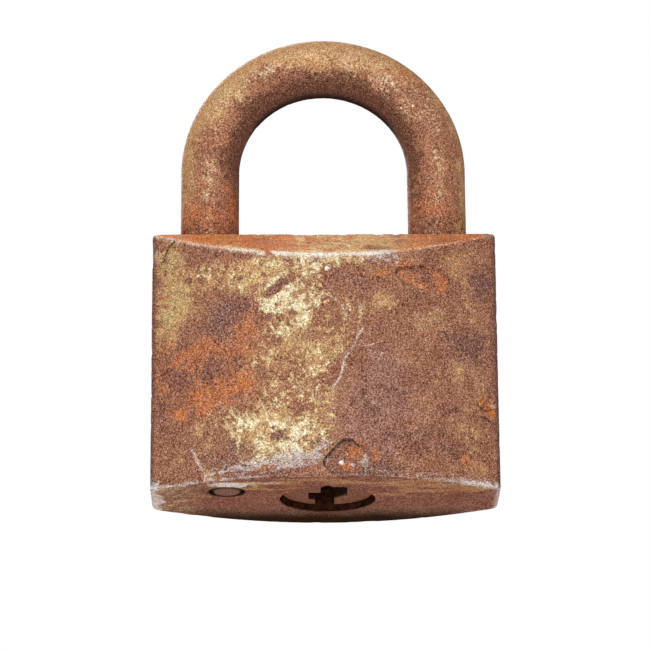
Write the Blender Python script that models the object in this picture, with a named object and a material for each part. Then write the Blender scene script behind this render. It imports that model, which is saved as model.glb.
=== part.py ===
"""Old rusted iron padlock: lens-shaped body, round shackle, pin-tumbler core with a turning latch.

Metres, +Z up. The lock stands on its flat bottom face, z = 0, with its centre at x = y = 0.
Its front is the -Y side. It is closed, and its inner latch bolt is drawn back.
"""
import math

import bmesh
import bpy

for old in list(bpy.data.objects):
    bpy.data.objects.remove(old, do_unlink=True)

MM = 0.001

# Body sizes in mm
body_w = 60.0
body_h = 46.5
side_t = 12.6
bulge = 9.4
roof_drop = 6.9
edge = 0.6
corner = 1.6
gap = 0.3

# Shackle sizes in mm
leg_inset = 10.0
leg_x = body_w / 2 - leg_inset
stock_r = 5.2
bow_rise = 13.4
bore_gap = 0.25
bore_r = stock_r + bore_gap
lift = 13.0
toe_depth = 12.5
toe_end = body_h - toe_depth
toe_taper = 1.6
heel_length = 14.0
heel_end = toe_end - heel_length
spring_room = 12.0
heel_floor = heel_end - spring_room
waist_depth = 1.3
waist_r = stock_r - waist_depth
collar_h = 3.3
waist_foot = heel_end + collar_h
stop_r = 1.5
stop_gap = 0.15
stop_z = waist_foot + lift + 0.2 + stop_r
waist_top = stop_z + stop_r + gap
stop_x = -leg_x + waist_r + stop_gap + stop_r
spring_wire = 0.55
spring_r = bore_r - 1.5 - spring_wire

# Latch sizes in mm
throw = 2.4
ecc = throw / 2 / math.sin(math.radians(45))
crank_r = 1.0
bolt_seat = 2.9
bolt_z0 = toe_end + bolt_seat
bolt_h = 3.2
bolt_tip = leg_x - bore_r - 0.2
notch_d = 2.2
bolt_y = 4.1
cam_r = 4.6
cam_h = 6.0
cam_gap = 0.6
tail_h = 2.0
tail_w = 1.8

# Lock core sizes in mm
plug_x = 0.4
plug_y = -0.4
plug_face = 1.3
head_r = 8.0
head_h = 3.0
head_top = plug_face + head_h
shank_r = 6.5
shank_top = bolt_z0 - cam_gap - cam_h - gap
groove_depth = 1.4
groove_r = shank_r - groove_depth
clip_r = 1.25
clip_rise = 1.9
clip_z = head_top + clip_rise
clip_x = plug_x + groove_r + 0.15 + clip_r

# Pin tumblers in mm, spread evenly along the shank
pin_count = 5
pin_r = 1.25
pin_start = 6.2
pin_end = 2.7
pin_z0 = head_top + pin_start
pin_pitch = (shank_top - pin_end - pin_z0) / (pin_count - 1)
pin_seat = 1.9
tip_r = 0.5
tip_end = 3.0
driver_h = 2.8
chamber_end = 13.2
pin_wire = 0.2
way_front = 2.9

# Feed hole with its round plug, in the bottom face
feed_x = -leg_x + 3.2
feed_y = -5.25
feed_r = 2.4
feed_ring = 0.75
feed_ring_h = 0.8


def material(name, colour, rough, metal):
    """A plain surface for one slot."""
    mat = bpy.data.materials.new(name)
    mat.use_nodes = True
    shader = mat.node_tree.nodes["Principled BSDF"]
    shader.inputs["Base Color"].default_value = (*colour, 1.0)
    shader.inputs["Roughness"].default_value = rough
    shader.inputs["Metallic"].default_value = metal
    return mat


body_iron = material("rusted_body_iron", (0.20, 0.105, 0.055), 0.85, 0.2)
shackle_steel = material("rusted_shackle_steel", (0.23, 0.15, 0.09), 0.8, 0.3)
plug_iron = material("rusted_plug_iron", (0.17, 0.10, 0.06), 0.85, 0.2)
pin_steel = material("browned_pin_steel", (0.19, 0.13, 0.09), 0.75, 0.3)
bolt_steel = material("dull_bolt_steel", (0.28, 0.26, 0.24), 0.6, 0.8)
spring_steel = material("dull_spring_steel", (0.30, 0.29, 0.28), 0.55, 0.8)
core_brass = material("tarnished_core_brass", (0.42, 0.30, 0.12), 0.55, 0.8)


def solid(name, verts, faces, mat):
    """One closed body from points in mm, normals out."""
    mesh = bpy.data.meshes.new(name)
    mesh.from_pydata([(x * MM, y * MM, z * MM) for x, y, z in verts], [], faces)
    bm = bmesh.new()
    bm.from_mesh(mesh)
    bmesh.ops.recalc_face_normals(bm, faces=bm.faces)
    if bm.calc_volume(signed=True) < 0:
        bmesh.ops.reverse_faces(bm, faces=bm.faces)
    bm.to_mesh(mesh)
    bm.free()
    obj = bpy.data.objects.new(name, mesh)
    bpy.context.collection.objects.link(obj)
    if mat:
        mesh.materials.append(mat)
    return obj


def stack(name, rings, mat):
    """Joins rings of points into one body with flat ends."""
    n = len(rings[0])
    verts = [p for ring in rings for p in ring]
    faces = [list(range(n)), [(len(rings) - 1) * n + i for i in range(n)]]
    for k in range(len(rings) - 1):
        for i in range(n):
            j = (i + 1) % n
            faces.append([k * n + i, k * n + j, (k + 1) * n + j, (k + 1) * n + i])
    return solid(name, verts, faces, mat)


def turned(name, profile, mat, at=(0, 0, 0), axis="z", seg=24):
    """A turned piece: radius and place along its axis, from one end to the other."""
    rings = []
    for r, t in profile:
        ring = []
        for i in range(seg):
            a = 2 * math.pi * (i + 0.5) / seg
            u, v = r * math.cos(a), r * math.sin(a)
            if axis == "z":
                ring.append((at[0] + u, at[1] + v, at[2] + t))
            else:
                ring.append((at[0] + u, at[1] + t, at[2] + v))
        rings.append(ring)
    return stack(name, rings, mat)


def block(name, lo, hi, mat):
    """A straight block between two corners."""
    base = [(lo[0], lo[1]), (hi[0], lo[1]), (hi[0], hi[1]), (lo[0], hi[1])]
    return stack(name, [[(x, y, z) for x, y in base] for z in (lo[2], hi[2])], mat)


def join(obj, tool, how="DIFFERENCE"):
    """Cuts a helper shape out of a piece, or adds it."""
    tool.hide_render = True
    tool.display_type = "WIRE"
    mod = obj.modifiers.new(how.lower(), "BOOLEAN")
    mod.operation = how
    mod.solver = "EXACT"
    mod.object = tool


def set_origin(obj, x, y, z):
    """Puts a piece's origin at a point in mm and leaves its mesh where it is."""
    for v in obj.data.vertices:
        v.co.x -= x * MM
        v.co.y -= y * MM
        v.co.z -= z * MM
    obj.location = (x * MM, y * MM, z * MM)


def coil(name, at, axis, r, wire, t0, t1, turns, steps, mat):
    """A wire spring along one axis with closed flat ends."""
    n = int(turns * steps)
    rings = []
    for k in range(n + 1):
        a = 2 * math.pi * turns * k / n
        t = t0 + wire + (t1 - t0 - 2 * wire) * k / n
        ring = []
        for i in range(6):
            b = 2 * math.pi * i / 6
            rr = r + wire * math.cos(b)
            u, v, w = rr * math.cos(a), rr * math.sin(a), t + wire * math.sin(b)
            if axis == "z":
                ring.append((at[0] + u, at[1] + v, w))
            else:
                ring.append((at[0] + u, w, at[2] + v))
        rings.append(ring)
    return stack(name, rings, mat)


def face_y(x):
    """Half thickness of the body at x: a low arch from side to side."""
    return side_t / 2 + bulge * (1 - (2 * x / body_w) ** 2)


def roof_z(y):
    """Height of the body at y: flat along the middle, then sloping to the front and back."""
    return body_h - roof_drop * max(0.0, abs(y) - side_t / 2) / bulge


def body_outline():
    """Plan outline, one quarter mirrored twice, with its outward directions."""
    quarter = []
    half = body_w / 2
    x_end = half - corner
    for i in range(13):
        x = x_end * i / 12
        slope = 8 * bulge * x / body_w ** 2
        length = math.hypot(slope, 1)
        quarter.append(((x, face_y(x)), (slope / length, 1 / length)))
    start = math.atan2(1, 8 * bulge * x_end / body_w ** 2)
    y_end = side_t / 2 - corner * 0.6
    for i in range(1, 5):
        t = i / 4
        a = start * (1 - t)
        x = (1 - t) ** 2 * x_end + 2 * t * (1 - t) * half + t * t * half
        y = (1 - t) ** 2 * face_y(x_end) + 2 * t * (1 - t) * face_y(half) + t * t * y_end
        quarter.append(((x, y), (math.cos(a), math.sin(a))))
    ridge = []
    for k, (p, n) in enumerate(quarter):
        if k and (quarter[k - 1][0][1] - edge * quarter[k - 1][1][1] - side_t / 2) > 0:
            y1 = p[1] - edge * n[1] - side_t / 2
            if y1 < 0:
                q, m = quarter[k - 1]
                y0 = q[1] - edge * m[1] - side_t / 2
                f = y0 / (y0 - y1)
                ridge.append((tuple(a + (b - a) * f for a, b in zip(q, p)), tuple(a + (b - a) * f for a, b in zip(m, n))))
        ridge.append((p, n))
    points = []
    for sx, sy, order in ((1, -1, 1), (1, 1, -1), (-1, 1, 1), (-1, -1, -1)):
        part = ridge[::order]
        if order == 1:
            part = part[1:] if points else part
        else:
            part = part[:-1] if (sx, sy) == (-1, -1) else part
        for p, n in part:
            points.append(((sx * p[0], sy * p[1]), (sx * n[0], sy * n[1])))
    return points


def body_shell():
    """The solid block before drilling: rounded plan, small edge breaks, two roof slopes."""
    line = body_outline()
    n = len(line)
    inner = [(p[0] - edge * m[0], p[1] - edge * m[1]) for p, m in line]
    outer = [p for p, m in line]
    rings = [
        [(x, y, 0.0) for x, y in inner],
        [(x, y, edge) for x, y in outer],
        [(x, y, roof_z(y) - edge) for x, y in outer],
        [(x, y, roof_z(y)) for x, y in inner],
    ]
    verts = [p for ring in rings for p in ring]
    faces = [list(range(n))]
    for k in range(3):
        for i in range(n):
            j = (i + 1) % n
            faces.append([k * n + i, k * n + j, (k + 1) * n + j, (k + 1) * n + i])
    half = side_t / 2 + 1e-6
    faces.append([3 * n + i for i in range(n) if abs(inner[i][1]) <= half])
    for sign in (-1, 1):
        ids = [i for i in range(n) if sign * inner[i][1] >= side_t / 2 - 1e-6]
        cut = next((k for k in range(1, len(ids)) if ids[k] - ids[k - 1] > 1), 0)
        faces.append([3 * n + i for i in ids[cut:] + ids[:cut]])
    return solid("lock_body", verts, faces, body_iron)


def dent(name, at, size):
    """A shallow flaked pit: a flattened ball that a piece loses."""
    rings = []
    for k in range(1, 6):
        a = math.pi * k / 6
        ring = []
        for i in range(10):
            b = 2 * math.pi * i / 10
            wob = 1 + 0.12 * math.sin(3 * b + k)
            ring.append((at[0] + size[0] * wob * math.sin(a) * math.cos(b), at[1] - size[1] * math.cos(a),
                         at[2] + size[2] * wob * math.sin(a) * math.sin(b)))
        rings.append(ring)
    return stack(name, rings, None)


def lock_body():
    """The iron body with its bores, latch channel, pin holes and flaked pits."""
    body = body_shell()
    core = [(head_r + 0.27, -2), (head_r + 0.27, head_top + gap), (shank_r + gap, head_top + gap),
            (shank_r + gap, bolt_z0 - gap + 0.2)]
    join(body, turned("core_bore", core, None, (plug_x, plug_y, 0), seg=40))
    join(body, turned("heel_bore", [(bore_r, heel_floor), (bore_r, body_h + 3)], None, (-leg_x, 0, 0), seg=32))
    join(body, turned("toe_bore", [(bore_r, toe_end - 0.4), (bore_r, body_h + 3)], None, (leg_x, 0, 0), seg=32))
    join(body, block("latch_channel", (plug_x - 4.2, plug_y - bolt_y - gap, bolt_z0 - gap),
                     (leg_x, plug_y + bolt_y + gap, bolt_z0 + bolt_h + gap), None))
    feed = [(feed_r + feed_ring, -2), (feed_r + feed_ring, feed_ring_h), (feed_r + bore_gap, feed_ring_h),
            (feed_r + bore_gap, heel_floor + 4)]
    join(body, turned("feed_hole", feed, None, (feed_x, feed_y, 0), seg=24))
    join(body, turned("stop_hole", [(stop_r + 0.2, -5), (stop_r + 0.2, 20)], None, (stop_x, 0, stop_z), "y", 16))
    join(body, turned("clip_hole", [(clip_r + 0.25, -6), (clip_r + 0.25, 20)], None, (clip_x, 0, clip_z), "y", 16))
    for i in range(pin_count):
        z = pin_z0 + i * pin_pitch
        join(body, turned(f"chamber_{i + 1}", [(pin_r + gap, -chamber_end), (pin_r + gap, 20)], None, (plug_x, 0, z), "y", 16))
    pit_x = leg_x - 2.8
    join(body, dent("high_pit", (pit_x, -face_y(pit_x) - 1.1, body_h - 10.9), (4.6, 1.5, 2.8)))
    join(body, dent("low_pit", (plug_x + 3.9, -face_y(plug_x + 3.9) - 1.15, plug_face + 2.4), (4.6, 1.5, 3.3)))
    join(body, dent("edge_pit", (body_w / 2 + 0.6, -side_t / 2 + 0.6, head_top + 10.4), (1.4, 1.6, 1.5)))
    return body


def shackle():
    """The U-shaped rod: stop flat and ring groove on the heel, tapered toe with a latch notch."""
    centre_z = body_h + bow_rise
    path = [(-leg_x, heel_end, 0.8), (-leg_x, heel_end + 0.6, 1.0), (-leg_x, body_h - 2, 1.0), (-leg_x, body_h + 6, 1.0)]
    rings = []
    seg = 24
    for x, z, f in path:
        rings.append([(x + f * stock_r * math.cos(b), f * stock_r * math.sin(b), z)
                      for b in (2 * math.pi * i / seg for i in range(seg))])
    for k in range(29):
        a = math.pi * (1 - k / 28)
        ring = []
        for i in range(seg):
            b = 2 * math.pi * i / seg
            out = leg_x - stock_r * math.cos(b)
            ring.append((out * math.cos(a), stock_r * math.sin(b), centre_z + out * math.sin(a)))
        rings.append(ring)
    toe = [(body_h + 6, 1.0), (body_h - 2, 1.0), (toe_end + toe_taper, 1.0), (toe_end, 0.62)]
    for z, f in toe:
        rings.append([(leg_x - f * stock_r * math.cos(b), f * stock_r * math.sin(b), z)
                      for b in (2 * math.pi * i / seg for i in range(seg))])
    obj = stack("shackle", rings, shackle_steel)
    ring_tool = turned("waist_ring", [(stock_r + 2, waist_foot), (stock_r + 2, waist_foot + 2 * stop_r + 0.7)], None,
                       (-leg_x, 0, 0), seg=24)
    core_tool = turned("waist_core", [(waist_r, waist_foot - 1), (waist_r, waist_top + 1)], None, (-leg_x, 0, 0), seg=24)
    join(ring_tool, core_tool)
    join(obj, ring_tool)
    join(obj, block("waist_flat", (-leg_x + waist_r, -stock_r - 1, waist_foot + 0.01),
                    (-leg_x + stock_r + 1, stock_r + 1, waist_top), None))
    join(obj, block("toe_notch", (leg_x - stock_r - 1, -stock_r - 1, bolt_z0 - gap),
                    (leg_x - stock_r + notch_d, stock_r + 1, bolt_z0 + bolt_h + gap), None))
    set_origin(obj, -leg_x, 0, body_h)
    return obj


def shackle_hardware():
    """The spring under the heel, the stop pin beside it and the plug of the feed hole."""
    coil("shackle_spring", (-leg_x, 0, 0), "z", spring_r, spring_wire, heel_floor + gap, heel_end - gap, 6, 14, spring_steel)
    end = face_y(stop_x) - 0.15
    turned("stop_pin", [(stop_r, -4.7), (stop_r, end - 0.3), (stop_r - 0.25, end)], pin_steel, (stop_x, 0, stop_z), "y", 16)
    top = heel_floor - gap
    turned("feed_plug", [(feed_r - 0.3, 0.05), (feed_r, 0.35), (feed_r, top)], pin_steel, (feed_x, feed_y, 0), seg=24)


def keyway_tool():
    """The crooked key slot as seen in the plug's face, open to the back of the plug."""
    front = way_front - shank_r
    neck = pin_seat - 0.3 - shank_r
    half = tip_r + 0.25
    back = head_r + 1.5
    line = [(-1.2, front), (-half, front), (-half, neck), (half, neck), (half, front), (3.4, front), (3.4, 1.4), (1.25, 3.8),
            (1.2, back), (-2.1, back), (-2.1, 5.0), (-3.3, 4.4), (-3.3, 0.0), (-1.2, 0.0)]
    base = [(plug_x + x, plug_y + y) for x, y in line]
    return stack("keyway", [[(x, y, z) for x, y in base] for z in (plug_face - 1, shank_top - 1)], None)


def key_plug():
    """The turning plug: head, shank with a ring groove, five pin holes, square tail."""
    profile = [(head_r - 0.3, plug_face), (head_r, plug_face + 0.3), (head_r, head_top), (shank_r, head_top),
               (shank_r, clip_z - clip_r - 0.25), (groove_r, clip_z - clip_r - 0.25),
               (groove_r, clip_z + clip_r + 0.25), (shank_r, clip_z + clip_r + 0.25), (shank_r, shank_top)]
    plug = turned("key_plug", profile, plug_iron, (plug_x, plug_y, 0), seg=40)
    join(plug, keyway_tool())
    for i in range(pin_count):
        z = pin_z0 + i * pin_pitch
        hole = [(pin_r + 0.2, plug_y - shank_r - 1), (pin_r + 0.2, plug_y - shank_r + pin_seat)]
        join(plug, turned(f"pin_hole_{i + 1}", hole, None, (plug_x, 0, z), "y", 16))
    join(plug, block("tail", (plug_x - tail_w, plug_y - tail_w, shank_top - 0.5),
                     (plug_x + tail_w, plug_y + tail_w, shank_top + tail_h), None),
         "UNION")
    set_origin(plug, plug_x, plug_y, 0)
    end = face_y(clip_x) - 0.15
    turned("plug_clip_pin", [(clip_r, -5.7), (clip_r, end - 0.3), (clip_r - 0.25, end)], pin_steel, (clip_x, 0, clip_z), "y", 16)


def pin_stack(i):
    """One key pin, driver pin and spring, with the plug of its drilled hole in the back face."""
    z = pin_z0 + i * pin_pitch
    y = plug_y - shank_r
    at = (plug_x, 0, z)
    profile = [(pin_r, y + 0.2), (pin_r, y + pin_seat - 0.6), (tip_r, y + pin_seat - 0.3), (tip_r, y + tip_end)]
    obj = turned(f"key_pin_{i + 1}", profile, core_brass, at, "y", 12)
    set_origin(obj, plug_x, plug_y, z)
    turned(f"driver_pin_{i + 1}", [(pin_r - 0.2, y - 0.4 - driver_h), (pin_r, y - 0.2 - driver_h), (pin_r, y - 0.4)], core_brass, at, "y", 12)
    coil(f"pin_spring_{i + 1}", at, "y", pin_r - 0.1 - pin_wire, pin_wire, 0.2 - chamber_end, y - 0.6 - driver_h, 4, 10, spring_steel)
    end = face_y(plug_x) - 0.12
    turned(f"back_plug_{i + 1}", [(pin_r, plug_y + shank_r + 1.0), (pin_r, end - 0.25), (pin_r - 0.2, end)], pin_steel, at,
           "y", 16)


def tail_cam():
    """The cam on the plug's square tail, with its off-centre crank."""
    foot = shank_top + gap
    cam = turned("tail_cam", [(cam_r, foot), (cam_r, foot + cam_h)], bolt_steel, (plug_x, plug_y, 0), seg=28)
    wide = tail_w + gap
    join(cam, block("tail_socket", (plug_x - wide, plug_y - wide, foot - 1),
                    (plug_x + wide, plug_y + wide, shank_top + tail_h + gap), None))
    x = plug_x - throw / 2
    y = plug_y - ecc * math.cos(math.radians(45))
    crank = turned("crank", [(crank_r, bolt_z0 - 1.2), (crank_r, bolt_z0 + bolt_h - 0.4)], None, (x, y, 0), seg=16)
    join(cam, crank, "UNION")
    set_origin(cam, plug_x, plug_y, 0)


def latch_bolt():
    """The flat bolt, drawn back, with the cross slot that the crank moves in."""
    x0 = plug_x - throw / 2 - 2.4
    bolt = block("latch_bolt", (x0, plug_y - bolt_y, bolt_z0), (bolt_tip, plug_y + bolt_y, bolt_z0 + bolt_h), bolt_steel)
    x = plug_x - throw / 2
    slot = block("cross_slot", (x - crank_r - 0.25, plug_y - ecc - crank_r - 0.3, bolt_z0 - 1),
                 (x + crank_r + 0.25, plug_y - throw / 2 + crank_r + 0.4, bolt_z0 + bolt_h + 1), None)
    join(bolt, slot)
    set_origin(bolt, bolt_tip, plug_y, bolt_z0 + bolt_h / 2)


lock_body()
shackle()
shackle_hardware()
key_plug()
for index in range(pin_count):
    pin_stack(index)
tail_cam()
latch_bolt()
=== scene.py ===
"""Looks of the old rusted padlock: pitted iron skin, round shackle, turning core and small plugs."""

import bpy
import numpy as np
from mathutils import Matrix, Vector


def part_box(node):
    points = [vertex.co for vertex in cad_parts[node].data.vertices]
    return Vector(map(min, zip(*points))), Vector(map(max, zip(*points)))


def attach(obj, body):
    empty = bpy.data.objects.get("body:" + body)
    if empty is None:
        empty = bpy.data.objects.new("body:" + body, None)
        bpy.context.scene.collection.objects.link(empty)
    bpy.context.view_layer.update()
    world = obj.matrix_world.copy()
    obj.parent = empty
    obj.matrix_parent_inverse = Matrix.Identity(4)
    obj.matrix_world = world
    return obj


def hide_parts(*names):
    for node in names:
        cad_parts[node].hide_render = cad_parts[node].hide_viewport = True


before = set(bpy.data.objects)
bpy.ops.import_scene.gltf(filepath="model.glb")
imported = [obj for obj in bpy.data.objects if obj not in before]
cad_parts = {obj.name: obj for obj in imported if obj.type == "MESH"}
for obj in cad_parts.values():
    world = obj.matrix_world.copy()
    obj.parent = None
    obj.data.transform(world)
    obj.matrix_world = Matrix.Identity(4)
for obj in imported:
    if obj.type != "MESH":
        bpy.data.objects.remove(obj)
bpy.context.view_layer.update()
scene = bpy.context.scene
scene.view_settings.view_transform = "Standard"

# Studio: a camera below the lock that looks a little up at it, a pale floor far below, soft light.
# The long lens is the one that the photograph's proportions ask for.
camera_data = bpy.data.cameras.new("view")
camera_data.sensor_width = 36.0
camera_data.lens = 189.9
camera_data.clip_end = 20.0
camera = bpy.data.objects.new("view", camera_data)
scene.collection.objects.link(camera)
scene.camera = camera
eye = Vector((-0.00603, -0.5687, -0.1561))
target = Vector((0.00017, 0.00098, 0.03209))
tilt = -0.0065
look = (target - eye).to_track_quat("-Z", "Y").to_matrix().to_4x4()
camera.matrix_world = Matrix.Translation(eye) @ look @ Matrix.Rotation(tilt, 4, "Z")

floor_z = -0.3
floor_corners = [(-3, -3, floor_z), (3, -3, floor_z), (3, 3, floor_z), (-3, 3, floor_z)]
floor_mesh = bpy.data.meshes.new("floor")
floor_mesh.from_pydata(floor_corners, [], [(0, 1, 2, 3)])
floor = bpy.data.objects.new("floor", floor_mesh)
scene.collection.objects.link(floor)


def seen_by(tree, *rays):
    """1 where one of these kinds of ray meets the surface, else 0: the largest of their flags."""
    path = tree.nodes.new("ShaderNodeLightPath")
    flag = path.outputs[rays[0]]
    for ray in rays[1:]:
        larger = tree.nodes.new("ShaderNodeMath")
        larger.operation = "MAXIMUM"
        tree.links.new(flag, larger.inputs[0])
        tree.links.new(path.outputs[ray], larger.inputs[1])
        flag = larger.outputs[0]
    return flag


def mixed(tree, share, first, second):
    """Two shaders in one: the second shows by its share."""
    mix = tree.nodes.new("ShaderNodeMixShader")
    for socket, value in zip(mix.inputs, (share, first, second)):
        tree.links.new(value, socket)
    return mix.outputs[0]


pale_floor = bpy.data.materials.new("pale_floor")
pale_floor.use_nodes = True
tree = pale_floor.node_tree
matt = tree.nodes["Principled BSDF"]
matt.inputs["Base Color"].default_value = (0.82, 0.82, 0.81, 1)
matt.inputs["Roughness"].default_value = 0.9
bright = tree.nodes.new("ShaderNodeEmission")
bright.inputs["Color"].default_value = (1, 1, 1, 1)
clear = tree.nodes.new("ShaderNodeBsdfTransparent")
side_seen = tree.nodes.new("ShaderNodeNewGeometry")
whitened = tree.nodes.new("ShaderNodeMath")
whitened.operation = "MULTIPLY"
whitened.inputs[1].default_value = 0.8
tree.links.new(seen_by(tree, "Is Camera Ray", "Is Glossy Ray", "Is Transmission Ray"), whitened.inputs[0])
upper_side = mixed(tree, whitened.outputs[0], matt.outputs[0], bright.outputs[0])
both_sides = mixed(tree, side_seen.outputs["Backfacing"], upper_side, clear.outputs[0])
tree.links.new(both_sides, tree.nodes["Material Output"].inputs["Surface"])
floor_mesh.materials.append(pale_floor)

world = bpy.data.worlds.new("studio")
scene.world = world
world.use_nodes = True
tree = world.node_tree
tree.nodes.clear()
soft = tree.nodes.new("ShaderNodeBackground")
soft.inputs["Color"].default_value = (1.0, 0.98, 0.96, 1)
soft.inputs["Strength"].default_value = 0.16
white = tree.nodes.new("ShaderNodeBackground")
white.inputs["Color"].default_value = (1, 1, 1, 1)
sky = mixed(tree, seen_by(tree, "Is Camera Ray", "Is Transmission Ray"), soft.outputs[0], white.outputs[0])
tree.links.new(sky, tree.nodes.new("ShaderNodeOutputWorld").inputs["Surface"])


def panel(name, spot, aim, size, watts, colour=(1, 1, 1)):
    """A square soft lamp at a spot, turned to an aim point."""
    data = bpy.data.lights.new(name, "AREA")
    data.energy = watts
    data.size = size
    data.color = colour
    lamp = bpy.data.objects.new(name, data)
    scene.collection.objects.link(lamp)
    lamp.location = spot
    lamp.rotation_euler = (Vector(aim) - Vector(spot)).to_track_quat("-Z", "Y").to_euler()


panel("key_lamp", (-0.30, -0.75, 0.62), (0, 0, 0.04), 0.45, 5.9, (1.0, 0.985, 0.96))
panel("fill_lamp", (0.50, -0.75, 0.15), (0, 0, 0.04), 0.50, 2.1)
panel("low_lamp", (-0.05, -0.60, -0.28), (0, 0, 0.0), 0.40, 1.5)
panel("back_lamp", (-0.20, 0.75, 0.60), (0, 0, 0.04), 0.50, 10.0)


# The lock body: a cast iron block, lens-shaped in plan, with flat sides, two sloping roof faces and a flat
# strip between them. It is drilled for the shackle, the core and the small pins. It is rusted all over,
# pitted, and worn along its edges.
MM = 0.001


def box_of(node):
    """Lowest and highest corner of a node of the frame, in mm."""
    return [np.array(c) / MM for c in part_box(node)]


def middle_of(node):
    """Middle of a node's box, in mm."""
    low, high = box_of(node)
    return (low + high) / 2


half_w, half_t, body_h = box_of("lock_body")[1]
side_half = 6.3
bulge = half_t - side_half
roof_drop = 6.9
corner = 1.6
lip = 0.7
skin = 0.06

plug_low, plug_high = box_of("key_plug")
plug_r = (plug_high[0] - plug_low[0]) / 2
core = np.array([(plug_low[0] + plug_high[0]) / 2, plug_low[1] + plug_r])
leg_low, leg_high = box_of("shackle")
stock_r = (leg_high[1] - leg_low[1]) / 2
leg_x = leg_high[0] - stock_r
feed = middle_of("feed_plug")
stop = middle_of("stop_pin")
clip = middle_of("plug_clip_pin")
lattice = np.random.default_rng(11).random((64, 64, 64))


def cloud(p, size, octaves, shift):
    """Soft random field, 0 to 1: lattice values mixed by the smooth step 3t^2 - 2t^3.

    Each octave is half as large and half as strong as the one before.
    """
    total = np.zeros(len(p))
    weight = 0.0
    for k in range(octaves):
        q = np.asarray(p, float) * (2.0 ** k / size) + shift + 17.3 * k
        whole = np.floor(q).astype(int)
        f = q - whole
        f = f * f * (3 - 2 * f)
        ends = ((1 - f, whole & 63), (f, (whole + 1) & 63))
        value = 0
        for a, b, c in np.ndindex(2, 2, 2):
            (wa, ia), (wb, ib), (wc, ic) = ends[a], ends[b], ends[c]
            w = wa[:, 0] * wb[:, 1] * wc[:, 2]
            value = value + w * lattice[ia[:, 0], ib[:, 1], ic[:, 2]]
        total += value * 0.5 ** k
        weight += 0.5 ** k
    return total / weight


def step(x, a, b):
    """Smooth rise from 0 at a to 1 at b, or a fall where b is less than a."""
    t = np.clip((x - a) / (b - a), 0, 1)
    return t * t * (3 - 2 * t)


def arc(t, a, b, c):
    """Quadratic arc from a to c, drawn towards b: (1-t)^2 a + 2t(1-t) b + t^2 c."""
    return (1 - t) ** 2 * a + 2 * t * (1 - t) * b + t * t * c


def lens(x):
    """Half thickness at x: side thickness plus a parabola that is highest in the middle."""
    return side_half + bulge * (1 - (x / half_w) ** 2)


def roof(y):
    """Height at y: flat between the ridges, then falling in proportion to the distance from the ridge."""
    return body_h - roof_drop * np.maximum(0.0, np.abs(y) - side_half) / bulge


def outline(front_step, side_step, back_step):
    """Closed plan curve with outward normals: two parabolas, two flats and four quadratic corner arcs.

    Its points are evenly spaced along the front, the sides and the back, each with its own step in mm.
    """
    x_end = half_w - corner
    y_end = side_half - 0.6 * corner
    slope = 2 * bulge * x_end / half_w ** 2
    t = np.linspace(0, 1, 60)[1:-1]
    x = np.linspace(-x_end, x_end, 900)
    y = np.linspace(-y_end, y_end, 200)
    cx = arc(t, x_end, half_w, half_w)
    cy = arc(t, lens(x_end), lens(x_end) - slope * corner, y_end)
    stretches = [(x, -lens(x)), (cx, -cy), (0 * y + half_w, y), (cx[::-1], cy[::-1]),
                 (x[::-1], lens(x)[::-1]), (-cx, cy), (0 * y - half_w, y[::-1]), (-cx[::-1], -cy[::-1])]
    loop = np.vstack([np.column_stack(one) for one in stretches])
    loop = np.vstack([loop, loop[:1]])
    ds = np.linalg.norm(np.diff(loop, axis=0), axis=1)
    depth = (loop[1:, 1] + loop[:-1, 1]) / 2
    pace = np.where(depth > side_half, back_step, side_step)
    pace = np.where(depth < 0.5 - side_half, front_step, pace)
    travel = np.r_[0, np.cumsum(ds / pace)]
    at = np.linspace(0, travel[-1], int(travel[-1]), endpoint=False)
    curve = np.c_[np.interp(at, travel, loop[:, 0]), np.interp(at, travel, loop[:, 1])]
    tangent = np.roll(curve, -1, 0) - np.roll(curve, 1, 0)
    tangent /= np.linalg.norm(tangent, axis=1)[:, None]
    return curve, np.c_[tangent[:, 1], -tangent[:, 0]]


def segment_distance(x, z, line):
    """Shortest distance in the x-z plane to a bent line: the least of those to its straight parts."""
    best = np.full(len(x), 1e9)
    for (x0, z0), (x1, z1) in zip(line[:-1], line[1:]):
        dx, dz = x1 - x0, z1 - z0
        t = np.clip(((x - x0) * dx + (z - z0) * dz) / (dx * dx + dz * dz), 0, 1)
        best = np.minimum(best, np.hypot(x - x0 - t * dx, z - z0 - t * dz))
    return best


def inside(x, z, corners):
    """Distance inside a polygon in the x-z plane, negative outside: signed by how often edges are crossed."""
    edge = segment_distance(x, z, corners + corners[:1])
    sign = np.full(len(x), -1.0)
    for (x0, z0), (x1, z1) in zip(corners, corners[1:] + corners[:1]):
        cross = ((z0 > z) != (z1 > z)) & (x < (x1 - x0) * (z - z0) / (z1 - z0 + 1e-12) + x0)
        sign = np.where(cross, -sign, sign)
    return edge * sign


def blot(x, z, cx, cz, rx, rz, turn=0.0):
    """1 in the middle of an oval, 0 at its rim and negative beyond: 1 minus the oval's own distance."""
    c, s = np.cos(np.radians(turn)), np.sin(np.radians(turn))
    u = (x - cx) * c + (z - cz) * s
    v = -(x - cx) * s + (z - cz) * c
    return 1 - np.hypot(u / rx, v / rz)


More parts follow.
